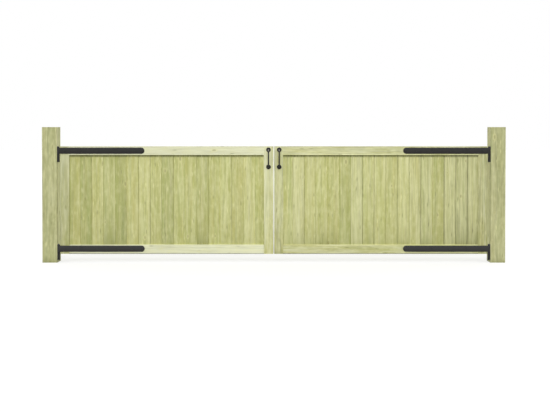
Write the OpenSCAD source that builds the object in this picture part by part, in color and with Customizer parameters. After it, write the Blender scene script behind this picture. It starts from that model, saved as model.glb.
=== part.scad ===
// Pair of framed garden gates hung between two square timber posts.
// Millimetres. +Z is up and the front faces -Y.
// The origin is the middle of the left post's foot, at ground level.
// A leaf and its hinges are drawn once, in leaf coordinates: X runs from the hinge edge to
// the meeting edge, Y from the front face to the back, Z up from the bottom edge. The right
// leaf is the mirror image of the left one.

/* [Posts] */
// Side of each square post
post_w = 140; // [110:1:200]
// Height of the posts above the top of the leaves
post_rise = 180; // [40:5:400]

/* [Leaves] */
// Width of one leaf
leaf_w = 1990; // [1200:10:2400]
// Height of one leaf
leaf_h = 1005; // [700:5:1500]
// Thickness of the stiles and rails
frame_t = 45; // [38:0.5:70]
// Air under the leaves
ground_gap = 82; // [30:1:150]
// Air between a post and its leaf
hinge_gap = 30; // [28:0.5:40]
// Air between the two leaves
meeting_gap = 6; // [5.5:0.5:15]
// Width of the stiles that carry the hinges
hinge_stile_w = 84; // [70:1:120]
// Width of the left leaf's meeting stile
left_meeting_stile_w = 90; // [70:1:130]
// Width of the right leaf's meeting stile
right_meeting_stile_w = 84; // [70:1:130]
// Height of the top rails
top_rail_h = 80; // [70:1:130]
// Height of the bottom rails
bottom_rail_h = 86; // [80:1:140]
// Radius of the eased edges of all the planed timber
arris_r = 3; // [1:0.5:6]

/* [Frame joints] */
// Thickness of the tenons
tenon_t = 15; // [10:0.5:20]
// Length of the tenons
tenon_l = 45; // [25:1:60]
// Shoulder above and below each tenon
tenon_shoulder = 20; // [16:1:25]
// Glue line round a tenon
tenon_clear = 0.25; // [0.1:0.05:0.5]

/* [Panel] */
// Thickness of the matchboards
panel_t = 18; // [14:0.5:22]
// Width that one board covers
board_cover = 109; // [60:1:150]
// Narrowest strip left at the last board
board_min = 25; // [15:1:40]
// How far the panel reaches into the grooves of the frame
panel_bite = 10; // [6:0.5:12]
// Room at the bottom of a groove for the boards to swell
swell_room = 2; // [1:0.5:3]
// Play on each face of the panel in its groove
groove_clear = 0.25; // [0.1:0.05:0.5]
// Width of the V at each board joint
vee_w = 8; // [4:0.5:12]
// Depth of the V at each board joint
vee_d = 3.5; // [2:0.5:5]

/* [Strap hinges] */
// Length of a strap from the pin to its round tip
strap_l = 800; // [400:10:1000]
// Width of the strap band
strap_w = 58; // [40:1:70]
// Thickness of the strap band
strap_t = 4; // [3:0.5:6]
// Middle of the upper strap below the top of the leaf
upper_strap_drop = 40; // [35:1:50]
// Middle of the lower strap above the bottom of the leaf
lower_strap_rise = 49; // [36:1:60]
// Diameter of the hinge pins
pin_d = 13; // [10:0.5:16]
// Radial play of the rolled eye on its pin
pin_clear = 0.1; // [0.05:0.01:0.1]
// Slit where the rolled end meets the band
eye_slit = 1; // [0.5:0.1:1.5]

/* [Pintles] */
// Thickness of the plate on the post
plate_t = 4; // [3:0.5:6]
// Width of the plate, front to back
plate_w = 60; // [40:1:90]
// Radius of the plate's corners
plate_corner_r = 6; // [2:0.5:10]
// The plate is this far behind the front of the post
plate_setback = 1; // [0:0.5:5]
// Plate and pin above the strap
pin_above = 10; // [8:0.5:25]
// Plate and boss below the strap
boss_below = 78; // [40:1:100]
// Diameter of the boss that the eye rests on
boss_d = 17; // [16:0.5:21]
// Air between the eye and the plate
eye_air = 1.5; // [1:0.5:3]
// Air under the eye
seat_air = 0.3; // [0.2:0.05:0.5]
// Thickness of the web between the boss and the plate
web_t = 8; // [5:0.5:10]

/* [Pull handles] */
// Distance between the two rosettes
handle_centres = 160; // [100:5:300]
// Upper rosette below the top of the leaf
handle_drop = 32; // [25:1:200]
// Handle in from the meeting edge
handle_inset = 47; // [30:1:60]
// Diameter of the round grip
grip_d = 13; // [8:0.5:16]
// Grip's centre line in front of the leaf
grip_reach = 42; // [35:1:60]
// Bend radius of the grip
bend_r = 14; // [10:1:20]
// Diameter of the rosettes
rosette_d = 44; // [30:1:60]
// Thickness of the rosettes
rosette_t = 4; // [3:0.5:8]

/* [Hidden] */
$fn = 48;
wood = "#c3c28f";
post_wood = "#b4b585";
iron = "#33312d";
ALONG = 1;                                   // overshoot of a cut past the face it opens

post_h = ground_gap + leaf_h + post_rise;
groove_d = panel_bite + swell_room;          // depth of the groove round the panel
groove_w = panel_t + 2 * groove_clear;
eye_bore_r = pin_d / 2 + pin_clear;
eye_r = eye_bore_r + strap_t;
axis_x = plate_t + eye_air + eye_r - hinge_gap;   // hinge axis, in leaf coordinates
axis_y = eye_bore_r;                         // so the band lies flat on the leaf
strap_zs = [lower_strap_rise, leaf_h - upper_strap_drop];   // lower and upper strap
handle_zs = [leaf_h - handle_drop - handle_centres, leaf_h - handle_drop];
leg_l = grip_reach - rosette_t - bend_r;     // straight leg of the grip behind each bend
pair_w = post_w + 2 * (hinge_gap + leaf_w) + meeting_gap;   // between the posts' middles

// --- placing ---

// Leaf coordinates of the left leaf, flush with the front of the posts
module left_side() {
    translate([post_w / 2 + hinge_gap, -post_w / 2, ground_gap]) children();
}

// Leaf coordinates of the right leaf
module right_side() {
    translate([pair_w - post_w / 2 - hinge_gap, -post_w / 2, ground_gap])
        mirror([1, 0, 0]) children();
}

// --- timber ---

// Rectangle with its four corners rounded
module eased_rect(w, t, r) {
    difference() {
        square([w, t]);
        for (x = [0, 1], y = [0, 1])
            translate([x * w, y * t]) mirror([x, 0]) mirror([0, y]) corner_waste(r);
    }
}

// What rounding takes off the corner at the origin
module corner_waste(r) {
    difference() {
        translate([-ALONG, -ALONG]) square(r + ALONG);
        translate([r, r]) circle(r);
    }
}

// Upright timber: w wide, t thick and l long, standing on its end
module upright(w, t, l) {
    linear_extrude(l) eased_rect(w, t, arris_r);
}

// Level timber: l long in X, t thick in Y and h high
module level(l, t, h) {
    translate([0, 0, h]) rotate([0, 90, 0]) linear_extrude(l) eased_rect(h, t, arris_r);
}

module post() {
    color(post_wood) translate([-post_w / 2, -post_w / 2, 0]) upright(post_w, post_w, post_h);
}

// Groove for the panel, cut from the edge at x = 0 into a timber that lies behind it
module stile_groove() {
    translate([-groove_d, (frame_t - groove_w) / 2, bottom_rail_h - groove_d])
        cube([groove_d + ALONG, groove_w,
              leaf_h - bottom_rail_h - top_rail_h + 2 * groove_d]);
}

// Mortises for the tenons of both rails, cut from the edge at x = 0
module stile_mortises() {
    depth = tenon_l + tenon_clear;
    for (seat = [[0, bottom_rail_h], [leaf_h - top_rail_h, top_rail_h]])
        translate([-depth, (frame_t - tenon_t) / 2 - tenon_clear,
                   seat[0] + tenon_shoulder - tenon_clear])
            cube([depth + ALONG, tenon_t + 2 * tenon_clear,
                  seat[1] - 2 * (tenon_shoulder - tenon_clear)]);
}

module hinge_stile() {
    color(wood) difference() {
        upright(hinge_stile_w, frame_t, leaf_h);
        translate([hinge_stile_w, 0, 0]) { stile_groove(); stile_mortises(); }
    }
}

module meeting_stile(w) {
    color(wood) difference() {
        translate([leaf_w - w, 0, 0]) upright(w, frame_t, leaf_h);
        translate([leaf_w - w, 0, 0]) mirror([1, 0, 0]) { stile_groove(); stile_mortises(); }
    }
}

// Rail between the stiles, h high, its foot at z = 0, with a stub tenon on each end
module rail_blank(h, meeting_w) {
    rail_l = leaf_w - hinge_stile_w - meeting_w;
    translate([hinge_stile_w, 0, 0]) level(rail_l, frame_t, h);
    translate([hinge_stile_w - tenon_l, (frame_t - tenon_t) / 2, tenon_shoulder])
        cube([rail_l + 2 * tenon_l, tenon_t, h - 2 * tenon_shoulder]);
}

// Groove along a rail, from z = 0 down
module rail_groove(meeting_w) {
    translate([hinge_stile_w - ALONG, (frame_t - groove_w) / 2, -groove_d])
        cube([leaf_w - hinge_stile_w - meeting_w + 2 * ALONG, groove_w, groove_d + ALONG]);
}

module bottom_rail(meeting_w) {
    color(wood) difference() {
        rail_blank(bottom_rail_h, meeting_w);
        translate([0, 0, bottom_rail_h]) rail_groove(meeting_w);
    }
}

module top_rail(meeting_w) {
    color(wood) translate([0, 0, leaf_h - top_rail_h]) difference() {
        rail_blank(top_rail_h, meeting_w);
        mirror([0, 0, 1]) rail_groove(meeting_w);
    }
}

// Matchboard panel with a V at each board joint on both faces
module panel(meeting_w) {
    w = leaf_w - hinge_stile_w - meeting_w + 2 * panel_bite;
    joints = [for (x = [board_cover:board_cover:w - board_min]) x];
    front = [for (x = joints) each [[x - vee_w / 2, 0], [x, vee_d], [x + vee_w / 2, 0]]];
    back = [for (i = [len(front) - 1:-1:0]) [front[i].x, panel_t - front[i].y]];
    color(wood)
        translate([hinge_stile_w - panel_bite, (frame_t - panel_t) / 2,
                   bottom_rail_h - panel_bite])
            linear_extrude(leaf_h - bottom_rail_h - top_rail_h + 2 * panel_bite)
                polygon(concat([[0, 0]], front, [[w, 0], [w, panel_t]], back, [[0, panel_t]]));
}

// --- ironwork ---

// Band with a round tip and an eye rolled from its own full width, centred on z = 0
module strap() {
    tip_r = strap_w / 2;
    color(iron) difference() {
        union() {
            translate([axis_x, -strap_t, -tip_r]) cube([strap_l - tip_r, strap_t, strap_w]);
            translate([axis_x + strap_l - tip_r, 0, 0]) rotate([90, 0, 0])
                cylinder(h = strap_t, r = tip_r);
            translate([axis_x, axis_y, -tip_r]) cylinder(h = strap_w, r = eye_r);
        }
        translate([axis_x, axis_y, -tip_r - ALONG])
            cylinder(h = strap_w + 2 * ALONG, r = eye_bore_r);
        // the rolled end stops just short of the back of the band
        translate([axis_x, 0, -tip_r - ALONG])
            cube([eye_r + ALONG, eye_slit, strap_w + 2 * ALONG]);
    }
}

// Plate on the side of the post, with a boss and a pin welded to it by a web. z = 0 is the
// middle of the strap that it carries.
module pintle() {
    reveal_x = -hinge_gap;
    foot_z = -strap_w / 2 - boss_below;
    boss_h = boss_below - seat_air;
    plate_h = boss_below + strap_w + pin_above;
    color(iron) {
        translate([reveal_x, plate_setback, foot_z]) rotate([90, 0, 90])
            linear_extrude(plate_t) eased_rect(plate_w, plate_h, plate_corner_r);
        // the web starts above the plate's rounded corner
        translate([reveal_x + plate_t / 2, axis_y - web_t / 2, foot_z + plate_corner_r])
            cube([axis_x - reveal_x - plate_t / 2, web_t, boss_h - plate_corner_r]);
        translate([axis_x, axis_y, foot_z]) rotate_extrude() pin_profile(boss_h);
    }
}

// Half section of the boss and the pin on it, whose tip is bevelled
module pin_profile(boss_h) {
    pin_r = pin_d / 2;
    bevel = pin_r / 3;
    top = boss_below + strap_w + pin_above;
    polygon([[0, 0], [boss_d / 2, 0], [boss_d / 2, boss_h], [pin_r, boss_h],
             [pin_r, top - bevel], [pin_r - bevel, top], [0, top]]);
}

// One straight leg of the grip and its bend, at a rosette; the grip runs on upwards
module grip_end() {
    rod_r = grip_d / 2;
    translate([0, -rosette_t, 0]) rotate([90, 0, 0]) cylinder(h = leg_l, r = rod_r);
    translate([0, -rosette_t - leg_l, bend_r]) rotate([90, 0, -90]) rotate([0, 0, -90])
        rotate_extrude(angle = 90) translate([bend_r, 0]) circle(rod_r);
}

// Round bar bent to a bow, standing on its two rosettes
module handle_grip() {
    color(iron) translate([leaf_w - handle_inset, 0, 0]) {
        translate([0, 0, handle_zs[0]]) grip_end();
        translate([0, 0, handle_zs[1]]) mirror([0, 0, 1]) grip_end();
        translate([0, -grip_reach, handle_zs[0] + bend_r])
            cylinder(h = handle_centres - 2 * bend_r, r = grip_d / 2);
    }
}

// Round base with a bevelled rim
module rosette() {
    rim = rosette_t / 2;
    color(iron) translate([leaf_w - handle_inset, 0, 0]) rotate([90, 0, 0]) {
        cylinder(h = rim, d = rosette_d);
        translate([0, 0, rim]) cylinder(h = rim, d1 = rosette_d, d2 = rosette_d - 2 * rim);
    }
}

// Something on the leaf or post at a height
module at_height(z) { translate([0, 0, z]) children(); }

// --- the pair ---

post();  // left_post
translate([pair_w, 0, 0]) post();  // right_post

left_side() at_height(strap_zs[1]) pintle();  // left_upper_pintle
left_side() at_height(strap_zs[0]) pintle();  // left_lower_pintle
right_side() at_height(strap_zs[1]) pintle();  // right_upper_pintle
right_side() at_height(strap_zs[0]) pintle();  // right_lower_pintle

left_side() hinge_stile();  // left_hinge_stile
left_side() meeting_stile(left_meeting_stile_w);  // left_meeting_stile
left_side() top_rail(left_meeting_stile_w);  // left_top_rail
left_side() bottom_rail(left_meeting_stile_w);  // left_bottom_rail
left_side() panel(left_meeting_stile_w);  // left_panel
left_side() at_height(strap_zs[1]) strap();  // left_upper_strap
left_side() at_height(strap_zs[0]) strap();  // left_lower_strap
left_side() handle_grip();  // left_handle_grip
left_side() at_height(handle_zs[1]) rosette();  // left_handle_upper_rosette
left_side() at_height(handle_zs[0]) rosette();  // left_handle_lower_rosette

right_side() hinge_stile();  // right_hinge_stile
right_side() meeting_stile(right_meeting_stile_w);  // right_meeting_stile
right_side() top_rail(right_meeting_stile_w);  // right_top_rail
right_side() bottom_rail(right_meeting_stile_w);  // right_bottom_rail
right_side() panel(right_meeting_stile_w);  // right_panel
right_side() at_height(strap_zs[1]) strap();  // right_upper_strap
right_side() at_height(strap_zs[0]) strap();  // right_lower_strap
right_side() handle_grip();  // right_handle_grip
right_side() at_height(handle_zs[1]) rosette();  // right_handle_upper_rosette
right_side() at_height(handle_zs[0]) rosette();  // right_handle_lower_rosette
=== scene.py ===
import math

import bpy
import numpy as np
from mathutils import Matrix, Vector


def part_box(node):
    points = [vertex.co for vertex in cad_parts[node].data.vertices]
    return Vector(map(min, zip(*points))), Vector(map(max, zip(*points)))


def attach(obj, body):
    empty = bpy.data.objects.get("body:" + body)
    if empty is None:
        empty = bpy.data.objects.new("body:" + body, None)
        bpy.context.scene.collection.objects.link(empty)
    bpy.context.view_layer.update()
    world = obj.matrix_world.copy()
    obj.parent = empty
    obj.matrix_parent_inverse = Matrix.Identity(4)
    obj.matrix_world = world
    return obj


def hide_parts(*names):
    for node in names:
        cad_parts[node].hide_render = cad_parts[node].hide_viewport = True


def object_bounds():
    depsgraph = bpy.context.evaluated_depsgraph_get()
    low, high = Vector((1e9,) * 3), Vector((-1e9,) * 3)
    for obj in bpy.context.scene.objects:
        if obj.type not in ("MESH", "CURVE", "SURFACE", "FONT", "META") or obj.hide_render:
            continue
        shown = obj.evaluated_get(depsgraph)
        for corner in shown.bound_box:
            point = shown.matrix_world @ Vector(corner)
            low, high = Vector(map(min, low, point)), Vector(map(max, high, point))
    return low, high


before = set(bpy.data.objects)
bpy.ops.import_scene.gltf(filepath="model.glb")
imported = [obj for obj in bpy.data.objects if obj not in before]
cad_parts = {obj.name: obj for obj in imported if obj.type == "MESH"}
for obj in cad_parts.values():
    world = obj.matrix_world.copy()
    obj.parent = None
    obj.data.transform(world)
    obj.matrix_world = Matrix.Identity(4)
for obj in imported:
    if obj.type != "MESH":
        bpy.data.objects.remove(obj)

CAD_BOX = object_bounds()
MIDDLE_X = (CAD_BOX[0].x + CAD_BOX[1].x) / 2
RNG_SEED = 41
MM = 0.001

# --- timber, in metres ---

ARRIS_R = 3 * MM            # eased edges of posts, stiles and rails
ARRIS_BAND = 5 * MM         # how far in from an arris its painted highlight or shade reaches
FOOT_RINGS = np.array([0, 10, 25, 50, 90]) * MM     # rings of vertices at a darkened foot
FOOT_DARK_REACH = 30 * MM         # height in which a darkened foot falls to about a third: damp on a stile, painted contact shade on a post
BOARD_COVER = 109 * MM      # face of one matchboard
BOARD_MIN = 25 * MM         # narrowest ripped board
BOARD_STEP = 0.5 * MM       # how far back from the panel's face a board may sit
BOARD_RINGS = np.array([0, 0.03, 0.08, 0.16, 0.3, 0.6])     # rings of vertices, in board lengths
VEE_W = 8 * MM              # V at each board joint
VEE_D = 3.5 * MM
JOINT_SLIT = 0.5 * MM       # open line at the bottom of each V
TONGUE = 6 * MM             # tongue, square in section
TONGUE_PLAY = 0.2 * MM
HEAD_IN = 10 * MM           # board ends inside the grooves of the rails
RAIL_SHADE_BAND = 20 * MM         # band of painted shade on the boards under the top rail, darker and browner
RAIL_SHADE_FADE = 2.5 * MM        # height in which that band fades out

# --- ironwork, in metres ---

STRAP_T = 4 * MM
PLATE_T = 4 * MM            # hinge plates on the posts
EDGE_R = 0.8 * MM           # rolled edge of flat bar
TIP_RINGS = 12              # rings of vertices along a strap's round tip
ROLL_RINGS = 40             # and along the part rolled round the pin
ROLL_TURN = 306             # how far it is rolled, in degrees
BOLT_R = 7.5 * MM           # domed heads on the straps
BOLT_H = 4 * MM
# Distance of each strap bolt from the pin, and its step above or below the middle
STRAP_BOLTS = (
    (0.058, 0.0), (0.205, 0.011), (0.36, -0.011), (0.53, 0.011), (0.68, -0.011), (0.778, 0.0),
)
NUT_R = 9.8 * MM            # corner radius of the nuts on the back
NUT_H = 8 * MM
WASHER_R = 12 * MM
WASHER_H = 2 * MM
BOLT_END_R = 5 * MM         # end of the bolt that stands out of each nut
BOLT_END_H = 3 * MM
SCREW_R = 5 * MM            # heads on the hinge plates
SCREW_H = 2.5 * MM
SCREWS_FORWARD = (12 * MM, 34 * MM)     # their distances from the plate's back edge
SCREWS_IN = 20 * MM         # and from its upper and lower edges
BEND_R = 14 * MM            # bends of the grips, at the middle of the bar
WELD_WIDER = 1.35           # foot of the weld bead at each rosette, in thicknesses of the bar
WELD_H = 2 * MM
PAINTED_GLINT = 0.35                 # strength of the pale painted highlight on the crown of each grip's upper bend
PAINTED_GLINT_DOWN = 4 * MM          # height of that crown below the middle of the upper rosette
PAINTED_GLINT_R = 10 * MM            # radius of that painted highlight

# --- light, floor and camera ---

FLOOR_PAINT = "#7c7c7b"     # what the floor throws back at the gate
FLOOR_SEEN = "#a8a8a6"      # its paint where it is seen, which shows the shadow
FLOOR_GLOW = 0.6            # light added where it is seen, so that it comes out white
FLOOR_HALF = 40.0           # half its side
SURROUND = (1.2, 0.45)      # white walls, and a ceiling that is darker
# Soft boxes: strength, then angular size, elevation and azimuth in degrees
SUNS = {
    "front_left_box": (0.675, 40, 32, -12),
    "front_right_box": (0.675, 40, 32, 12),
    "back_left_box": (0.85, 50, 12, -110),
    "back_right_box": (0.85, 50, 12, 110),
    "top_box": (0.52, 7, 77, 0),
}
SENSOR_W = 36.0             # in mm
LENS = 58.9                 # in mm
LENS_SHIFT = -0.1141        # of the sensor's width
CAMERA_AWAY = 8.39          # from the front of the posts
CAMERA_ASIDE = 0.011        # right of the middle of the pair
CAMERA_TILT = 1.03          # turned down, in degrees


# --- mesh making ---

def loop_quads(rings, points):
    """Quads of a tube of rings x points vertices: ring i, point j joins to its next point and
    to the next ring, and the last point joins to the first."""
    i, j = np.meshgrid(np.arange(rings - 1), np.arange(points), indexing="ij")
    k = (j + 1) % points
    quads = np.stack([i * points + j, i * points + k, (i + 1) * points + k, (i + 1) * points + j], -1)
    return quads.reshape(-1, 4)


def sweep(outline, path, u, v, scale=None):
    """Carries a closed outline along a path: vertex (i, j) is path_i + u_i x_j a_i + v_i y_j b_i,
    with (a_i, b_i) the scale at station i. u x v points along the path and the outline runs
    counter-clockwise, so faces point out. Returns vertices, quads and the two end faces."""
    outline, path = np.asarray(outline, float), np.asarray(path, float)
    m, n = len(path), len(outline)
    u, v = np.broadcast_to(u, (m, 3)), np.broadcast_to(v, (m, 3))
    scale = np.ones((m, 2)) if scale is None else np.asarray(scale, float)
    x = outline[None, :, 0] * scale[:, 0, None]
    y = outline[None, :, 1] * scale[:, 1, None]
    verts = path[:, None] + u[:, None] * x[..., None] + v[:, None] * y[..., None]
    ends = [np.arange(n)[::-1], np.arange(n) + (m - 1) * n]
    return verts.reshape(-1, 3), loop_quads(m, n), ends


def circle(radius, sides):
    """Outline of a circle, counter-clockwise: (r cos t, r sin t)."""
    t = np.linspace(0, 2 * np.pi, sides, endpoint=False)
    return radius * np.stack([np.cos(t), np.sin(t)], -1)


def turned(profile, foot, axis, sides):
    """Turns a half section about an axis: point (r, h) goes to foot + axis h + r (cos t side1 +
    sin t side2). The profile runs from the foot up its outside, so faces point out. Returns
    what sweep returns."""
    axis = np.asarray(axis, float)
    side1 = np.roll(np.abs(axis), 1)
    side2 = np.cross(axis, side1)
    profile = np.asarray(profile, float)
    path = np.asarray(foot, float) + profile[:, 1, None] * axis
    return sweep(circle(1.0, sides), path, side1, side2, np.stack([profile[:, 0]] * 2, -1))


def round_rect(w, h, r, steps, band=0.0):
    """Outline of a w x h rectangle about its middle, counter-clockwise: at each corner an arc of
    radius r in so many steps. With a band, each side also has a point that far in from them."""
    points = []
    for k in range(4):
        a = np.linspace(0, np.pi / 2, steps + 1) + k * np.pi / 2
        cx, cy = (w / 2 - r) * (1, -1, -1, 1)[k], (h / 2 - r) * (1, 1, -1, -1)[k]
        arc = np.stack([cx + r * np.cos(a), cy + r * np.sin(a)], -1)
        if band:
            lead = arc[0] + np.array([[0, -band], [band, 0], [0, band], [-band, 0]][k])
            tail = arc[-1] + np.array([[-band, 0], [0, -band], [band, 0], [0, band]][k])
            arc = np.vstack([lead, arc, tail])
        points.append(arc)
    return np.vstack(points)


class Build:
    """Gathers swept and turned shapes into one mesh. For the materials to read, it also keeps
    some values of each vertex, and of each face whether it is the end of a timber."""

    def __init__(self):
        self.verts, self.faces, self.smooth, self.slots = [], [], [], []
        self.points, self.ends = {}, []
        self.count = 0

    def take(self, shape, smooth=False, mirror=None, points=(), end_value=0.0, slot=0):
        """Adds one shape, mirrored in the plane x = mirror if that is given. smooth is for each
        quad, points holds arrays of vertex values, and end_value is for its two end faces."""
        verts, quads, ends = shape
        if mirror is not None:
            verts = verts * [-1, 1, 1] + [2 * mirror, 0, 0]
            quads, ends = quads[:, ::-1], [e[::-1] for e in ends]
        for name, values in dict(points).items():
            self.points.setdefault(name, []).append(np.asarray(values, float))
        self.ends += [0.0] * len(quads) + [end_value] * len(ends)
        self.faces += (quads + self.count).tolist() + [(e + self.count).tolist() for e in ends]
        self.smooth += list(np.broadcast_to(smooth, len(quads))) + [False] * len(ends)
        self.slots += [slot] * (len(quads) + len(ends))
        self.verts.append(verts)
        self.count += len(verts)
        return self

    def piece(self, name, body, materials, slot_name, replaces=()):
        """Makes the mesh and its object, which rides on body."""
        mesh = bpy.data.meshes.new(name)
        mesh.from_pydata(np.vstack(self.verts).tolist(), [], self.faces)
        mesh.polygons.foreach_set("use_smooth", np.array(self.smooth, bool))
        mesh.polygons.foreach_set("material_index", np.array(self.slots, np.int32))
        for attribute, parts in self.points.items():
            values = np.concatenate(parts).astype(np.float32)
            kind, key = ("FLOAT_VECTOR", "vector") if values.ndim == 2 else ("FLOAT", "value")
            mesh.attributes.new(attribute, kind, "POINT").data.foreach_set(key, values.ravel())
        ends = np.array(self.ends, np.float32)
        mesh.attributes.new("end", "FLOAT", "FACE").data.foreach_set("value", ends)
        for material in materials:
            mesh.materials.append(material)
        mesh.validate()
        obj = bpy.data.objects.new(name, mesh)
        bpy.context.scene.collection.objects.link(obj)
        if replaces:
            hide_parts(*replaces)
        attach(obj, body)


# --- colours and shader nodes ---

def srgb(code):
    """Linear RGBA of a hex sRGB colour."""
    c = np.array([int(code[i:i + 2], 16) for i in (1, 3, 5)]) / 255
    linear = np.where(c <= 0.04045, c / 12.92, ((c + 0.055) / 1.055) ** 2.4)
    return (*linear.tolist(), 1.0)


def add(tree, kind, inputs=(), **settings):
    """Adds one shader node. settings are its own properties, and inputs maps a socket to a value
    or to the output that feeds it."""
    made = tree.nodes.new("ShaderNode" + kind)
    for key, value in settings.items():
        setattr(made, key, value)
    for key, value in dict(inputs).items():
        if isinstance(value, bpy.types.NodeSocket):
            tree.links.new(value, made.inputs[key])
        else:
            made.inputs[key].default_value = value
    return made


def new_material(name):
    """A material without nodes, and its tree."""
    material = bpy.data.materials.new(name)
    material.use_nodes = True
    material.node_tree.nodes.clear()
    return material, material.node_tree


# Values of each vertex or face that the timber reads: brighter or darker, how green, how cream,
# how streaky, painted highlight and shade at the arrises and beside the leaf, the stain of a board joint,
# damp feet with painted shade at post feet and under the top rail, and end grain
MARKS = ("tone", "hue", "wash", "streaks", "edge", "damp_and_shade", "end")
RING = 5 * MM               # width of the growth rings
LATE_PITCH = 28 * MM        # from one band of late wood to the next: real ones are too fine to show
KNOT_R = 9 * MM             # the largest knots
KNOT_CELL = (0.34, 0.075, 0.12)     # room for one knot: along the grain, across it, in depth
FLECK_CELL = (0.09, 0.02, 0.05)     # and for one fleck
# Bands along the grain: length and width in mm, then their least and greatest value. Fibres are
# 1.6 mm wide because real ones are too fine to show.
PINE_BANDS = {
    "streaks": (300, 6, -1.0, 1.0),
    "salts": (900, 38, -0.35, 0.35),
    "sapwood": (500, 34, -0.24, 0.28),
    "fibre": (120, 1.6, -1.0, 1.0),
    "stretch": (160, 30, -0.3, 1.3),
    "blush": (70, 30, -0.5, 1.1),
}


def treated_pine(name, green, straw, cream, figure=0.4, knots=0.85, saw_marks=0.0):
    """Pressure-treated pine. Grain runs along the first value of the "grain" attribute, and the
    other two are the place in the section, counted from the pith, so that end faces show rings.
    Growth rings bend round the knots. Copper salts tint the sapwood green in patches and leave
    the rest straw to cream, with long streaks, a pale blush here and there, and flecks of resin
    and bark. Damp feet, and the painted shade at the feet of the posts and under the top rails, are darker
    and brown-green. figure says how much paler the early wood is, knots what share of the cells holds no
    knot, and saw_marks how deep a saw's ridges are."""
    material, t = new_material(name)
    grain = add(t, "Attribute", attribute_name="grain").outputs["Vector"]
    mark = {key: add(t, "Attribute", attribute_name=key).outputs["Fac"] for key in MARKS}

    # knots: each cell may hold one, which is about twice as long as it is wide
    per_cell = [1 / c for c in KNOT_CELL]
    to_metres = (0.45 * KNOT_CELL[0], KNOT_CELL[1], 0.0)
    in_cells = add(t, "VectorMath", {0: grain, 1: per_cell}, operation="MULTIPLY").outputs[0]
    knot = add(t, "TexVoronoi", {"Vector": in_cells, "Scale": 1.0, "Randomness": 0.9}).outputs
    away = add(t, "VectorMath", {0: in_cells, 1: knot["Position"]}, operation="SUBTRACT").outputs[0]
    away = add(t, "VectorMath", {0: away, 1: to_metres}, operation="MULTIPLY").outputs[0]
    distance = add(t, "VectorMath", {0: away}, operation="LENGTH").outputs["Value"]
    chance = add(t, "SeparateColor", {0: knot["Color"]}).outputs[0]
    knot_r = add(t, "MapRange", {0: chance, 1: knots, 2: 1.0, 3: 0.1 * MM, 4: KNOT_R}).outputs[0]
    spread = add(t, "Math", {0: distance, 1: knot_r}, operation="DIVIDE").outputs[0]
    core = add(t, "MapRange", {0: spread, 1: 0.7, 2: 1.2, 3: 0.6, 4: 0.0},
               interpolation_type="SMOOTHSTEP").outputs[0]
    halo = add(t, "MapRange", {0: spread, 1: 0.9, 2: 3.0, 3: 1.0, 4: 0.0},
               interpolation_type="SMOOTHERSTEP").outputs[0]

    # distance from the pith: it wanders 12 mm either way over 770 mm of the tree, and swells at
    # the knots
    slow = add(t, "VectorMath", {0: grain, 1: (1.3, 8.0, 8.0)}, operation="MULTIPLY").outputs[0]
    wander = add(t, "TexNoise", {"Vector": slow, "Scale": 1.0, "Detail": 2.0, "Roughness": 0.5}).outputs[0]
    shift = add(t, "MapRange", {0: wander, 1: 0.2, 2: 0.8, 3: -12 * MM, 4: 12 * MM}).outputs[0]
    flat = add(t, "VectorMath", {0: grain, 1: (0.0, 1.0, 1.0)}, operation="MULTIPLY").outputs[0]
    from_pith = add(t, "VectorMath", {0: flat}, operation="LENGTH").outputs["Value"]
    swell = add(t, "Math", {0: halo, 1: knot_r}, operation="MULTIPLY").outputs[0]
    radius = add(t, "Math", {0: from_pith, 1: shift}, operation="ADD").outputs[0]
    radius = add(t, "Math", {0: swell, 1: 1.4, 2: radius}, operation="MULTIPLY_ADD").outputs[0]

    # rings of uneven width that fade in and out along the grain, over some 450 mm
    along = add(t, "SeparateXYZ", {0: grain}).outputs[0]
    counted = add(t, "Math", {0: radius, 1: 1 / RING}, operation="MULTIPLY").outputs[0]
    fading = add(t, "Math", {0: along, 1: 2.2}, operation="MULTIPLY").outputs[0]
    rings_at = add(t, "CombineXYZ", {0: counted, 1: fading}).outputs[0]
    rings = add(t, "TexNoise", {"Vector": rings_at, "Scale": 1.0, "Detail": 3.0, "Roughness": 0.62})
    early = add(t, "MapRange", {0: rings.outputs[0], 1: 0.34, 2: 0.68, 3: 0.0, 4: 1.0},
                interpolation_type="SMOOTHSTEP").outputs[0]

    band = {}
    for kind, (long_mm, wide_mm, low, high) in PINE_BANDS.items():
        step = (1000 / long_mm, 1000 / wide_mm, 1000 / wide_mm)
        at = add(t, "VectorMath", {0: grain, 1: step}, operation="MULTIPLY").outputs[0]
        noise = add(t, "TexNoise", {"Vector": at, "Scale": 1.0, "Detail": 2.0, "Roughness": 0.55}).outputs[0]
        band[kind] = add(t, "MapRange", {0: noise, 1: 0.3, 2: 0.7, 3: low, 4: high}).outputs[0]

    # late wood: soft dark bands along the rings, only in some stretches
    phase = add(t, "Math", {0: radius, 1: 2 / LATE_PITCH}, operation="MULTIPLY").outputs[0]
    saw_tooth = add(t, "Math", {0: phase, 1: 1.0}, operation="PINGPONG").outputs[0]
    lines = add(t, "MapRange", {0: saw_tooth, 1: 0.5, 2: 0.95, 3: 0.0, 4: 1.0},
                interpolation_type="SMOOTHSTEP").outputs[0]
    late = add(t, "Math", {0: lines, 1: band["stretch"]}, operation="MULTIPLY").outputs[0]
    late = add(t, "Math", {0: late, 1: mark["streaks"]}, operation="MULTIPLY").outputs[0]
    streaks = add(t, "Math", {0: band["streaks"], 1: mark["streaks"]}, operation="MULTIPLY").outputs[0]

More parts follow.
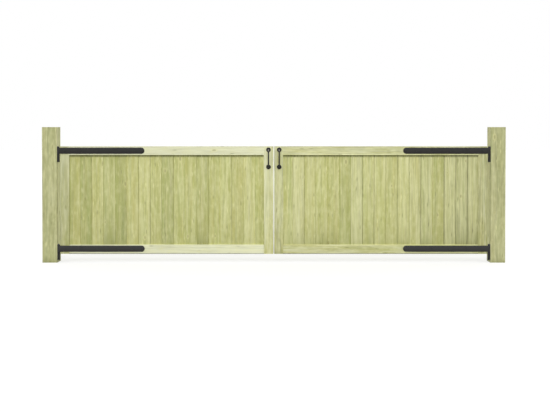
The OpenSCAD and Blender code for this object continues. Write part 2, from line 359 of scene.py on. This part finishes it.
    # flecks of about 40 x 9 mm, one in five of pale resin and one in eight of dark bark
    per_cell = [1 / c for c in FLECK_CELL]
    in_cells = add(t, "VectorMath", {0: grain, 1: per_cell}, operation="MULTIPLY").outputs[0]
    fleck = add(t, "TexVoronoi", {"Vector": in_cells, "Scale": 1.0, "Randomness": 1.0}).outputs
    chance = add(t, "SeparateColor", {0: fleck["Color"]}).outputs[0]
    speck = add(t, "MapRange", {0: fleck["Distance"], 1: 0.1, 2: 0.34, 3: 1.0, 4: 0.0}).outputs[0]
    pale_kind = add(t, "Math", {0: chance, 1: 0.8}, operation="GREATER_THAN").outputs[0]
    dark_kind = add(t, "Math", {0: chance, 1: 0.12}, operation="LESS_THAN").outputs[0]
    resin = add(t, "Math", {0: speck, 1: pale_kind}, operation="MULTIPLY").outputs[0]
    bark = add(t, "Math", {0: speck, 1: dark_kind}, operation="MULTIPLY").outputs[0]

    # colour: straw to green, and over it layers, each with its share, its strength and its colour
    tint = add(t, "Math", {0: mark["hue"], 1: band["salts"]}, operation="ADD", use_clamp=True).outputs[0]
    colour = add(t, "Mix", {0: tint, 6: srgb(straw), 7: srgb(green)}, data_type="RGBA").outputs[2]
    paler = add(t, "Math", {0: early, 1: figure, 2: band["sapwood"]}, operation="MULTIPLY_ADD").outputs[0]
    paler = add(t, "Math", {0: paler, 1: mark["wash"]}, operation="ADD").outputs[0]
    wet = add(t, "MapRange", {0: band["streaks"], 1: -1.0, 2: 1.0, 3: 0.15, 4: 1.0}).outputs[0]
    # damp feet, and painted shade at the feet of the posts and under the top rail, in one value
    damp_and_shade = add(t, "Math", {0: mark["damp_and_shade"], 1: wet}, operation="MULTIPLY").outputs[0]
    dark_streaks = add(t, "MapRange", {0: streaks, 1: 0.0, 2: -1.0, 3: 0.0, 4: 1.0}).outputs[0]
    layers = (
        (paler, 1.0, cream), (band["blush"], 0.3, "#e4e3ae"), (dark_streaks, 0.22, "#86823f"),
        (resin, 0.6, "#e2e1a6"), (bark, 0.5, "#7c7c46"), (halo, 0.4, "#dcd99c"),
        (core, 0.65, "#7c7445"), (damp_and_shade, 1.0, "#777a42"),
    )
    for share, amount, code in layers:
        covers = add(t, "Math", {0: share, 1: amount}, operation="MULTIPLY", use_clamp=True).outputs[0]
        colour = add(t, "Mix", {0: covers, 6: colour, 7: srgb(code)}, data_type="RGBA").outputs[2]
    # brightness: the timber's own, painted highlight and shade at its arrises and beside the leaf, stain at
    # its joints, end grain, streaks, fibres, late wood
    bright = add(t, "Math", {0: mark["tone"], 1: 1.0}, operation="ADD").outputs[0]
    shades = (
        (mark["edge"], 1.0), (mark["end"], -0.28), (streaks, 0.07), (band["fibre"], 0.08), (late, -0.14),
    )
    for share, amount in shades:
        bright = add(t, "Math", {0: share, 1: amount, 2: bright}, operation="MULTIPLY_ADD").outputs[0]
    colour = add(t, "VectorMath", {0: colour, "Scale": bright}, operation="SCALE").outputs[0]

    # relief: early wood and fibres, and a ridge each 5 mm across the grain where it is sawn
    height = add(t, "Math", {0: band["fibre"], 1: 0.35, 2: early}, operation="MULTIPLY_ADD").outputs[0]
    bump = add(t, "Bump", {"Height": height, "Strength": 0.3, "Distance": 0.3 * MM}).outputs[0]
    if saw_marks:
        strokes = add(t, "VectorMath", {0: grain, 1: (200.0, 12.0, 12.0)}, operation="MULTIPLY").outputs[0]
        saw = add(t, "TexNoise", {"Vector": strokes, "Scale": 1.0, "Detail": 1.0}).outputs[0]
        ridges = {"Height": saw, "Strength": saw_marks, "Distance": 0.3 * MM, "Normal": bump}
        bump = add(t, "Bump", ridges).outputs[0]
    rough = add(t, "MapRange", {0: early, 3: 0.74, 4: 0.64}).outputs[0]
    surface = add(t, "BsdfPrincipled", {
        "Base Color": colour, "Roughness": rough, "Normal": bump, "IOR": 1.5, "Specular IOR Level": 0.4})
    add(t, "OutputMaterial", {"Surface": surface.outputs[0]})
    return material


def black_coated_steel(name, dusty=0.0):
    """Steel under black powder coat: satin, faintly pebbled each 1.5 mm, duller in patches of
    25 mm, and where it is dusty, grey near the ground. Where a piece marks it, a pale painted highlight lies
    on it."""
    material, t = new_material(name)
    place = add(t, "TexCoord").outputs["Object"]
    pebble = add(t, "TexNoise", {"Vector": place, "Scale": 650.0, "Detail": 2.0}).outputs[0]
    patches = add(t, "TexNoise", {"Vector": place, "Scale": 40.0, "Detail": 3.0}).outputs[0]
    blotch = add(t, "MapRange", {0: patches, 1: 0.3, 2: 0.7}).outputs[0]
    colour = add(t, "Mix", {0: blotch, 6: srgb("#0c0b08"), 7: srgb("#1c1b17")}, data_type="RGBA").outputs[2]
    height = add(t, "SeparateXYZ", {0: place}).outputs[2]
    dust = add(t, "MapRange", {0: height, 1: 0.2, 2: 0.9, 3: dusty, 4: 0.0}).outputs[0]
    colour = add(t, "Mix", {0: dust, 6: colour, 7: srgb("#2f2f2d")}, data_type="RGBA").outputs[2]
    # pale painted highlight where the piece's attribute marks it
    painted_glint = add(t, "Attribute", attribute_name="painted_glint").outputs["Fac"]
    colour = add(t, "Mix", {0: painted_glint, 6: colour, 7: srgb("#b9b6ae")}, data_type="RGBA").outputs[2]
    rough = add(t, "MapRange", {0: patches, 1: 0.3, 2: 0.7, 3: 0.42, 4: 0.58}).outputs[0]
    bump = add(t, "Bump", {"Height": pebble, "Strength": 0.25, "Distance": 0.15 * MM}).outputs[0]
    surface = add(t, "BsdfPrincipled", {
        "Base Color": colour, "Roughness": rough, "Normal": bump, "IOR": 1.5, "Specular IOR Level": 0.34})
    add(t, "OutputMaterial", {"Surface": surface.outputs[0]})
    return material


def zinc_plated_steel():
    """Nuts and washers: dull zinc with a faint spangle of about 4 mm."""
    material, t = new_material("dull zinc-plated steel")
    place = add(t, "TexCoord").outputs["Object"]
    spangle = add(t, "TexVoronoi", {"Vector": place, "Scale": 260.0}).outputs["Distance"]
    colour = add(t, "Mix", {0: spangle, 6: srgb("#8f9294"), 7: srgb("#a9abab")}, data_type="RGBA").outputs[2]
    surface = add(t, "BsdfPrincipled", {"Base Color": colour, "Metallic": 1.0, "Roughness": 0.45})
    add(t, "OutputMaterial", {"Surface": surface.outputs[0]})
    return material


# --- timber ---

AXES = {"X": (0, 2, 1), "Z": (2, 0, 1)}     # along the grain, across the face, depth
# Kinds of timber: brighter or darker, how green, how cream, how streaky
TIMBER = {
    "dark": (-0.11, 0.62, -0.1, 0.9),
    "green": (-0.05, 0.58, 0.0, 0.8),
    "olive": (-0.08, 0.45, -0.05, 0.8),
    "straw": (0.015, 0.45, 0.05, 0.75),
    "light": (0.05, 0.5, 0.2, 0.85),
    "grey": (-0.04, 0.52, 0.4, 1.1),
    "dull": (-0.1, 0.5, 0.45, 1.3),
    "cream": (0.01, 0.45, 0.5, 0.8),
    "white": (-0.02, 0.5, 1.2, 0.6),
    "post": (-0.03, 0.65, 0.15, 1.3),
    "greyish": (-0.16, 0.55, 0.12, 0.8),
    "yellow": (0.07, 0.35, 0.2, 0.8),
    "brown": (-0.14, 0.38, 0.0, 1.8),
    "mottled": (0.04, 0.4, 0.08, 1.5),
}
# Each timber of the frames: its kind; how much brighter its two front arrises are, the left or
# lower one first, as painted highlight and shade; how much creamier (fade) and brighter (lift) its upper or
# right end is than the other; and how dark its foot is: damp on a stile, painted contact shade on a post
FRAME = {
    "left": {
        # the foot of each post is painted contact shade
        "post": {"kind": "post", "fade": -0.1, "foot": 0.9},
        "hinge_stile": {"kind": "greyish", "painted_arris_light": (-0.08, 0.1), "fade": 0.5},
        "meeting_stile": {"kind": "yellow", "painted_arris_light": (0.07, -0.03), "fade": 0.4},
        "top_rail": {"kind": "white", "painted_arris_light": (0.3, -0.15), "lift": 0.1},
        "bottom_rail": {"kind": "white", "painted_arris_light": (-0.75, 0.0), "lift": 0.17},
    },
    "right": {
        "post": {"kind": "post", "fade": -0.25, "foot": 0.9},
        "hinge_stile": {"kind": "brown", "painted_arris_light": (0.06, -0.08), "foot": 0.3},
        "meeting_stile": {"kind": "mottled", "painted_arris_light": (-0.1, 0.03), "fade": 0.2, "foot": 0.8},
        "top_rail": {"kind": "light", "painted_arris_light": (0.6, -0.25)},
        "bottom_rail": {"kind": "straw", "painted_arris_light": (-0.75, 0.2)},
    },
}
LEAF_SIDE_PAINTED_LIGHT = 0.3             # painted light: how much brighter a post's face is beside the leaf
# Kind of each board, from the hinge stile
BOARDS = {
    "left": "olive dark straw green dark straw light straw green straw straw green straw light "
            "straw light straw",
    "right": "dull dull dull green grey grey light straw light light cream green straw light "
             "light cream light",
}
# How dark each joint between two boards is, from the hinge: a pale one is worn, and an open one
# holds dirt
JOINT_STAINS = {"pale": -1.0, "even": 0.0, "soft": 0.6, "dark": 1.3, "open": 2.2}
JOINTS = {
    "left": "pale even even pale pale soft dark even even pale even even pale soft pale pale",
    "right": "open dark open pale open soft dark soft dark dark even pale pale even dark pale",
}
JOINT_SHADE = 0.14          # how much darker the wood is for each unit of that
DAMP_BOARDS = {"left": (3, 11), "right": (1, 4, 13)}     # these have the dampest feet
DAMP = {"left": (0.0, 0.5), "right": (0.2, 0.9)}         # how damp the others' feet are
BOARD_LIFT = 0.06           # how much brighter a board's head is than its foot
RAIL_SHADE_DARKEN = 0.25           # how much darker the painted shade under the top rail is


def looks(count, tone, hue, wash, streaks):
    """Attributes of one timber, the same at each vertex."""
    even = np.ones(count)
    return {"tone": even * tone, "hue": even * hue, "wash": even * wash, "streaks": even * streaks}


def grain_of(verts, way, rng, pith_across, pith_depth):
    """Place in the log: along the grain with a start of its own, and the two distances from the
    pith in the section."""
    along, across, depth = AXES[way]
    return np.stack([verts[:, along] + rng.uniform(0, 50),
                     verts[:, across] - pith_across,
                     verts[:, depth] - pith_depth], -1)


def timber(build, lo, hi, way, rng, kind, painted_arris_light=(0, 0), fade=0.0, lift=0.0, foot=0.0,
           boxed=False, levels=()):
    """Squared timber from corner lo to corner hi, its grain along X or Z: a rectangle with eased
    arrises, carried along the grain. A boxed timber has its pith inside, and any other was cut
    beside it. The values from kind to foot are those of FRAME, and the darkened foot, damp on a stile and
    painted contact shade on a post, falls off as exp(-height / FOOT_DARK_REACH). levels are more heights
    above the foot with vertices."""
    lo, hi = np.array(lo), np.array(hi)
    mid, size = (lo + hi) / 2, hi - lo
    # section axes, so that the first times the second points along the timber
    first, second, along = (0, 1, 2) if way == "Z" else (1, 2, 0)
    _, across, depth = AXES[way]
    outline = round_rect(size[first], size[second], ARRIS_R, 4, ARRIS_BAND)
    rise = np.sort(np.append(FOOT_RINGS if foot else 0.0, levels))
    path = np.repeat(mid[None], len(rise) + 1, 0)
    path[:, along] = np.append(lo[along] + rise, hi[along])
    shape = sweep(outline, path, np.eye(3)[first], np.eye(3)[second])
    reach = np.abs(outline) - (np.array([size[first], size[second]]) / 2 - ARRIS_R)
    on_arc = (reach > -1e-7).all(1)
    arc_face = np.tile(on_arc & np.roll(on_arc, -1), len(rise))
    if boxed:
        pith_across = mid[across] + rng.uniform(-0.2, 0.2) * size[across]
        pith_depth = mid[depth] + rng.uniform(-0.2, 0.2) * size[depth]
    else:
        pith_across = mid[across] + rng.uniform(-0.4, 0.4) * size[across]
        pith_depth = hi[depth] + rng.uniform(0.005, 0.05)
    above = shape[0][:, along] - lo[along]
    points = looks(len(above), *TIMBER[kind])
    points["grain"] = grain_of(shape[0], way, rng, pith_across, pith_depth)
    # darkened foot: damp on a stile, painted contact shade on a post
    points["damp_and_shade"] = foot * np.exp(-above / FOOT_DARK_REACH)
    points["wash"] += fade * (above / size[along] - 0.5)
    points["tone"] += lift * (above / size[along] - 0.5)
    # painted highlight and shade along the arrises, the left or lower ones first
    left_or_lower = outline[:, 0 if way == "Z" else 1] < 0
    points["edge"] = np.tile(on_arc * np.where(left_or_lower, *painted_arris_light), len(path))
    build.take(shape, arc_face, end_value=1.0, points=points)


def board_outline(w, t, first, last, stain):
    """Section of a matchboard about the middle of its cover, counter-clockwise from the front:
    V edges, a tongue on the right and a groove on the left. The first board has no groove and
    the last no tongue, because they end in the frame. stain says how dark its two joints are,
    and the second value returned is that stain at each corner: full in the slit, and half at
    the edge of the V."""
    left, right = -w / 2, w / 2
    slit, vee, inside = JOINT_SLIT / 2, VEE_W / 2, VEE_W
    tongue_lo, tongue_hi = t / 2 - TONGUE / 2, t / 2 + TONGUE / 2
    tip = right + TONGUE - TONGUE_PLAY
    groove_lo, groove_hi = tongue_lo - TONGUE_PLAY, tongue_hi + TONGUE_PLAY
    bottom = left + TONGUE + TONGUE_PLAY
    a, b = stain
    front, right_side, left_side = [(left, 0, 0)], [(right, 0, 0), (right, t, 0)], [(left, t, 0)]
    if not first:
        front = [(left + slit, VEE_D, a), (left + vee, 0, a / 2), (left + inside, 0, 0)]
        left_side = [
            (left + inside, t, 0), (left + vee, t, a / 2), (left + slit, t - VEE_D, a),
            (left + slit, groove_hi, 1), (bottom, groove_hi, 1),
            (bottom, groove_lo, 1), (left + slit, groove_lo, 1)]
    if not last:
        right_side = [
            (right - inside, 0, 0), (right - vee, 0, b / 2), (right - slit, VEE_D, b),
            (right - slit, tongue_lo, 1), (tip, tongue_lo, 1),
            (tip, tongue_hi, 1), (right - slit, tongue_hi, 1),
            (right - slit, t - VEE_D, b), (right - vee, t, b / 2), (right - inside, t, 0)]
    section = np.array(front + right_side + left_side)
    return section[:, :2], section[:, 2]


def matchboards(side, rng, material):
    """The panel as separate boards: each is its section carried upwards. They are laid from the
    left, the last one is ripped to fit, and the right leaf's are mirrored about the middle of
    its panel, so that both are laid from the hinge stile. The damp of a foot falls off as
    exp(-height / reach), with a reach of 60 to 140 mm, and a band of painted shade lies under the top rail."""
    lo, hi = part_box(f"{side}_panel")
    width, height, thick = hi.x - lo.x, hi.z - lo.z, hi.y - lo.y
    mirror = (lo.x + hi.x) / 2 if side == "right" else None
    starts = np.append(0, np.arange(BOARD_COVER, width - BOARD_MIN, BOARD_COVER))
    stops = np.append(starts[1:], width)
    joints = rng.uniform(-0.2, 0.2, len(starts) + 1)
    joints[1:-1] += [JOINT_STAINS[kind] for kind in JOINTS[side].split()]
    rail_shade_z = hi.z - HEAD_IN - RAIL_SHADE_BAND
    levels = np.append(lo.z + height * BOARD_RINGS, [rail_shade_z - RAIL_SHADE_FADE, rail_shade_z, hi.z])
    build = Build()
    for i, (start, stop, kind) in enumerate(zip(starts, stops, BOARDS[side].split())):
        ends = i == 0, i == len(starts) - 1
        outline, stain = board_outline(stop - start, thick, *ends, joints[i:i + 2])
        step = 0.0 if any(ends) else rng.uniform(0, BOARD_STEP)
        outline = outline * [1, (thick - step) / thick]
        x = lo.x + (start + stop) / 2
        path = np.stack([np.full(len(levels), x), np.full(len(levels), lo.y + step), levels], -1)
        shape = sweep(outline, path, (1, 0, 0), (0, 1, 0))
        z = shape[0][:, 2]
        tone, hue, wash, streaks = TIMBER[kind]
        points = looks(len(z), tone + rng.normal(0, 0.012), hue + rng.normal(0, 0.1),
                       wash + rng.normal(0, 0.04), streaks)
        damp_and_shade = 1.0 if i in DAMP_BOARDS[side] else rng.uniform(*DAMP[side])
        damp_and_shade = damp_and_shade * np.exp(-(z - lo.z) / rng.uniform(0.06, 0.14))
        # painted shade in a band under the top rail, also browner through the damp colour
        under_rail_shade = z > rail_shade_z - RAIL_SHADE_FADE / 2
        points["damp_and_shade"] = damp_and_shade + rng.uniform(0.75, 1.0) * under_rail_shade
        points["tone"] += BOARD_LIFT * ((z - lo.z) / height - 0.5) - RAIL_SHADE_DARKEN * under_rail_shade
        pith = x + rng.uniform(-0.05, 0.05), hi.y + rng.uniform(0.005, 0.045)
        points["grain"] = grain_of(shape[0], "Z", rng, *pith)
        points["edge"] = -JOINT_SHADE * np.tile(stain, len(path))
        build.take(shape, mirror=mirror, points=points, end_value=1.0)
    build.piece(f"{side}_matchboards", f"{side}_leaf", [material], "matchboards", [f"{side}_panel"])


def make_posts(material, rng):
    """Square posts. The face beside the leaf is brightened with painted light."""
    for side in ("left", "right"):
        lo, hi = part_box(f"{side}_post")
        leaf_lo, leaf_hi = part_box(f"{side}_hinge_stile")
        below, above = leaf_lo.z - lo.z, leaf_hi.z - lo.z
        levels = (below, below + ARRIS_BAND, above - ARRIS_BAND, above)
        build = Build()
        timber(build, lo, hi, "Z", rng, **FRAME[side]["post"], boxed=True, levels=levels)
        verts = build.verts[-1]
        inner_x = hi.x if side == "left" else lo.x
        # painted light on the inner face of the post beside the leaf
        beside = (verts[:, 2] > leaf_lo.z + MM) & (verts[:, 2] < leaf_hi.z - MM)
        beside &= np.abs(verts[:, 0] - inner_x) < 1e-6
        build.points["edge"][-1] += LEAF_SIDE_PAINTED_LIGHT * beside
        build.piece(f"{side}_square_post", "posts", [material], "posts", [f"{side}_post"])


def make_frame(side, material, rng):
    """Stiles and rails. A rail shows only between the stiles, so its tenons are left out."""
    stiles = [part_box(f"{side}_{part}") for part in ("hinge_stile", "meeting_stile")]
    faces_x = sorted(corner.x for box in stiles for corner in box)
    for part, way in (("hinge_stile", "Z"), ("meeting_stile", "Z"), ("top_rail", "X"), ("bottom_rail", "X")):
        lo, hi = np.array(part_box(f"{side}_{part}"))
        if way == "X":
            lo[0], hi[0] = faces_x[1:3]
        build = Build()
        timber(build, lo, hi, way, rng, **FRAME[side][part])
        build.piece(f"{side}_{part}_timber", f"{side}_leaf", [material], "frame_timber", [f"{side}_{part}"])


# --- ironwork ---

def strap_shape(pin, length, front, middle_z, width, bore_r):
    """Flat bar carried from its round tip to the pin and once round it. Along the tip's half
    circle the bar's width is that of the circle; the roll is an arc about the pin."""
    half = width / 2
    phi = np.radians(np.linspace(2, 90, TIP_RINGS))
    tip_x = pin[0] + length - half * (1 - np.cos(phi))
    straight = np.stack([tip_x, np.full(TIP_RINGS, front + STRAP_T / 2)], -1)
    a = np.radians(np.linspace(-90, -90 - ROLL_TURN, ROLL_RINGS))
    r = bore_r + STRAP_T / 2
    roll = np.stack([pin[0] + r * np.cos(a), pin[1] + r * np.sin(a)], -1)
    path = np.vstack([straight, roll])
    path = np.column_stack([path, np.full(len(path), middle_z)])
    way = np.vstack([np.repeat([[-1.0, 0, 0]], TIP_RINGS, 0),
                     np.stack([np.sin(a), -np.cos(a), np.zeros(ROLL_RINGS)], -1)])
    u = np.cross((0, 0, 1), way)
    scale = np.ones((len(path), 2))
    scale[:TIP_RINGS, 1] = np.sin(phi)
    return sweep(round_rect(STRAP_T, width, EDGE_R, 2), path, u, (0, 0, 1), scale)


def grip_shape(x, face, foot, top, reach, radius):
    """Round bar carried along a bow: out from one rosette, a quarter bend, up, a quarter bend
    and back in to the other. A weld bead widens both ends."""
    a = np.radians(np.linspace(0, 90, 9))
    out = face - reach
    low = np.stack([out + BEND_R - BEND_R * np.sin(a), foot + BEND_R - BEND_R * np.cos(a)], -1)
    high = np.stack([out + BEND_R - BEND_R * np.cos(a), top - BEND_R + BEND_R * np.sin(a)], -1)
    yz = np.vstack([[face, foot], [face - WELD_H, foot], low, high, [face - WELD_H, top], [face, top]])
    path = np.column_stack([np.full(len(yz), x), yz])
    way = np.vstack([[0, -1, 0], [0, -1, 0], np.stack([0 * a, -np.cos(a), np.sin(a)], -1),
                     np.stack([0 * a, np.sin(a), np.cos(a)], -1), [0, 1, 0], [0, 1, 0]])
    u = np.cross((1, 0, 0), way)
    scale = np.ones((len(path), 2))
    scale[[0, -1]] = WELD_WIDER
    return sweep(circle(radius, 20), path, u, (1, 0, 0), scale)


def dome(r, h):
    """Half section of a domed head: a short rim, then an arc to the top."""
    a = np.linspace(0, np.pi / 2, 6)[:-1]
    arc = np.stack([r * np.cos(a), h * 0.25 + h * 0.75 * np.sin(a)], -1)
    return np.vstack([[r, 0], arc, [r * 0.05, h]])


def rose(r, h):
    """Half section of a rosette: a disc whose rim is rounded towards the front."""
    return [(r, 0), (r, 0.45 * h), (r * 0.97, 0.7 * h), (r * 0.9, 0.9 * h), (r * 0.8, h), (r * 0.05, h)]


def strap_ironwork(side, mirror, steel, zinc):
    """Straps of one leaf and their bolts. Only the bolt next to each pin goes through, to a
    washer and a nut on the back."""
    leaf = f"{side}_leaf"
    back_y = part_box("left_hinge_stile")[1].y
    bolts = Build()
    for level in ("upper", "lower"):
        lo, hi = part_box(f"left_{level}_strap")
        eye_r = (hi.y - lo.y) / 2
        pin = (lo.x + eye_r, lo.y + eye_r)
        z = (lo.z + hi.z) / 2
        strap = strap_shape(pin, hi.x - pin[0], lo.y, z, hi.z - lo.z, eye_r - STRAP_T)
        Build().take(strap, True, mirror).piece(
            f"{side}_{level}_strap_bar", leaf, [steel], "ironwork", [f"{side}_{level}_strap"])
        for away, step in STRAP_BOLTS:
            head = turned(dome(BOLT_R, BOLT_H), (pin[0] + away, lo.y, z + step), (0, -1, 0), 24)
            bolts.take(head, True, mirror)
        back = (pin[0] + STRAP_BOLTS[0][0], back_y, z)
        nut_top = WASHER_H + NUT_H
        washer = [(WASHER_R, 0), (WASHER_R, WASHER_H), (NUT_R, WASHER_H)]
        nut = [(NUT_R, WASHER_H), (NUT_R, nut_top)]
        bolt_end = [(BOLT_END_R, nut_top), (BOLT_END_R, nut_top + BOLT_END_H)]
        for section, corners in ((washer, 32), (nut, 6), (bolt_end, 16)):
            bolts.take(turned(section, back, (0, 1, 0), corners), False, mirror, slot=1)
    bolts.piece(f"{side}_strap_bolts", leaf, [steel, zinc], "ironwork")


def pull_handle(side, mirror, steel):
    """Bow grip of one leaf on its two rosettes. The crown of the upper bend has a pale painted highlight."""
    leaf = f"{side}_leaf"
    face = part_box("left_hinge_stile")[0].y
    lo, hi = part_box("left_handle_grip")
    x, radius = (lo.x + hi.x) / 2, (hi.x - lo.x) / 2
    centres = lo.z + radius, hi.z - radius
    grip = grip_shape(x, hi.y, *centres, hi.y - lo.y - radius, radius)
    # pale painted highlight on the crown of the upper bend
    crown = np.array([x, lo.y + radius, centres[1] - PAINTED_GLINT_DOWN])
    painted_glint = PAINTED_GLINT * np.exp(-(np.linalg.norm(grip[0] - crown, axis=1) / PAINTED_GLINT_R) ** 4)
    Build().take(grip, True, mirror, points={"painted_glint": painted_glint}).piece(
        f"{side}_pull_grip", leaf, [steel], "ironwork", [f"{side}_handle_grip"])
    rose_lo, rose_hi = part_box("left_handle_upper_rosette")
    section = rose((rose_hi.x - rose_lo.x) / 2, face - hi.y)
    build = Build()
    for z in centres:
        build.take(turned(section, (x, face, z), (0, -1, 0), 48), True, mirror)
    build.piece(f"{side}_rosettes", leaf, [steel], "ironwork",
                [f"{side}_handle_upper_rosette", f"{side}_handle_lower_rosette"])


def hinge_plate_screws(side, mirror, steel):
    """Four heads on each plate, behind the pin."""
    screws = Build()
    for level in ("upper", "lower"):
        lo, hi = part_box(f"left_{level}_pintle")
        for forward in SCREWS_FORWARD:
            for z in (lo.z + SCREWS_IN, hi.z - SCREWS_IN):
                place = (lo.x + PLATE_T, hi.y - forward, z)
                screws.take(turned(dome(SCREW_R, SCREW_H), place, (1, 0, 0), 16), True, mirror)
    screws.piece(f"{side}_plate_screws", "posts", [steel], "ironwork")


# --- the gate ---

def make_gate():
    """Ironwork is drawn for the left leaf, and mirrored about the middle of the pair for the
    right one. The posts are sawn, so they are dull and faintly ridged; the frames are planed,
    smoother and creamier; and the boards are planed and greener."""
    rng = np.random.default_rng(RNG_SEED)
    sawn = treated_pine(
        "sawn pressure-treated pine", "#a9ad76", "#b6b17d", "#cbcb9c", figure=0.4, saw_marks=0.3)
    planed = treated_pine(
        "planed pressure-treated pine", "#b1b576", "#c1be80", "#e3e4c0", figure=0.35, knots=0.95)
    boards = treated_pine(
        "matchboard pressure-treated pine", "#abb26a", "#bfbc75", "#d9d9a5", figure=0.3, knots=0.8)
    steel = black_coated_steel("black powder-coated steel")
    dusty = black_coated_steel("dusty black powder-coated steel", 0.6)
    zinc = zinc_plated_steel()
    make_posts(sawn, rng)
    for side, mirror in (("left", None), ("right", MIDDLE_X)):
        make_frame(side, planed, rng)
        matchboards(side, rng, boards)
        strap_ironwork(side, mirror, dusty, zinc)
        pull_handle(side, mirror, dusty)
        hinge_plate_screws(side, mirror, steel)
    for name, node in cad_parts.items():
        coated = any(word in name for word in ("pintle", "strap", "handle"))
        node.data.materials.clear()
        node.data.materials.append(steel if coated else planed)


# --- floor, light and camera ---

def seen_directly(tree):
    """1 where the camera sees the surface, itself or in a reflection, and 0 elsewhere."""
    path = add(tree, "LightPath").outputs
    return add(tree, "Math", {0: path["Is Camera Ray"], 1: path["Is Glossy Ray"]},
               operation="MAXIMUM").outputs[0]


def make_floor():
    """White studio floor. Seen directly it glows to white and keeps the shadow of the gate."""
    material, t = new_material("white studio floor")
    seen = seen_directly(t)
    paint = add(t, "Mix", {0: seen, 6: srgb(FLOOR_PAINT), 7: srgb(FLOOR_SEEN)}, data_type="RGBA").outputs[2]
    paint = add(t, "BsdfDiffuse", {"Color": paint}).outputs[0]
    glow = add(t, "Math", {0: seen, 1: FLOOR_GLOW}, operation="MULTIPLY").outputs[0]
    shine = add(t, "Emission", {"Color": (1, 1, 1, 1), "Strength": glow}).outputs[0]
    both = add(t, "AddShader", {0: paint, 1: shine}).outputs[0]
    add(t, "OutputMaterial", {"Surface": both})
    mesh = bpy.data.meshes.new("studio_floor")
    west, east = MIDDLE_X - FLOOR_HALF, MIDDLE_X + FLOOR_HALF
    corners = [(west, -FLOOR_HALF, 0), (east, -FLOOR_HALF, 0), (east, FLOOR_HALF, 0), (west, FLOOR_HALF, 0)]
    mesh.from_pydata(corners, [], [(0, 1, 2, 3)])
    mesh.materials.append(material)
    floor = bpy.data.objects.new("studio_floor", mesh)
    bpy.context.scene.collection.objects.link(floor)


def sun(name, strength, spread, elevation, azimuth):
    """A sun lamp with the angular size of a soft box, shining from an elevation and an azimuth
    counted from straight in front towards +X, all in degrees."""
    lamp = bpy.data.lights.new(name, "SUN")
    lamp.energy = strength
    lamp.angle = math.radians(spread)
    obj = bpy.data.objects.new(name, lamp)
    obj.rotation_euler = (math.radians(90 - elevation), 0, math.radians(azimuth))
    bpy.context.scene.collection.objects.link(obj)


def make_light():
    """White walls under a darker ceiling, two soft boxes high in front, two low at the sides and
    a little behind, and a small one overhead."""
    world = bpy.data.worlds.new("studio")
    bpy.context.scene.world = world
    world.use_nodes = True
    t = world.node_tree
    t.nodes.clear()
    seen = seen_directly(t)
    up = add(t, "SeparateXYZ", {0: add(t, "TexCoord").outputs["Generated"]}).outputs[2]
    wall = add(t, "MapRange", {0: up, 1: 0.0, 2: 1.0, 3: SURROUND[0], 4: SURROUND[1]}).outputs[0]
    strength = add(t, "Mix", {0: seen, 2: wall, 3: 1.0}).outputs[0]
    back = add(t, "Background", {"Color": (1, 1, 1, 1), "Strength": strength})
    add(t, "OutputWorld", {"Surface": back.outputs[0]})
    for name, values in SUNS.items():
        sun(name, *values)


def make_camera():
    """Long lens straight in front, level with the tops of the posts and turned down a little. The
    lens is shifted so that the gate sits where it does in the frame."""
    cam = bpy.data.cameras.new("camera")
    cam.sensor_width = SENSOR_W
    cam.lens = LENS
    cam.shift_y = LENS_SHIFT
    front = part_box("left_post")[0].y
    obj = bpy.data.objects.new("camera", cam)
    obj.location = (MIDDLE_X + CAMERA_ASIDE, front - CAMERA_AWAY, CAD_BOX[1].z)
    obj.rotation_euler = (math.radians(90 - CAMERA_TILT), 0, 0)
    bpy.context.scene.collection.objects.link(obj)
    bpy.context.scene.camera = obj


make_gate()
make_floor()
make_light()
make_camera()
bpy.context.scene.view_settings.view_transform = "Standard"
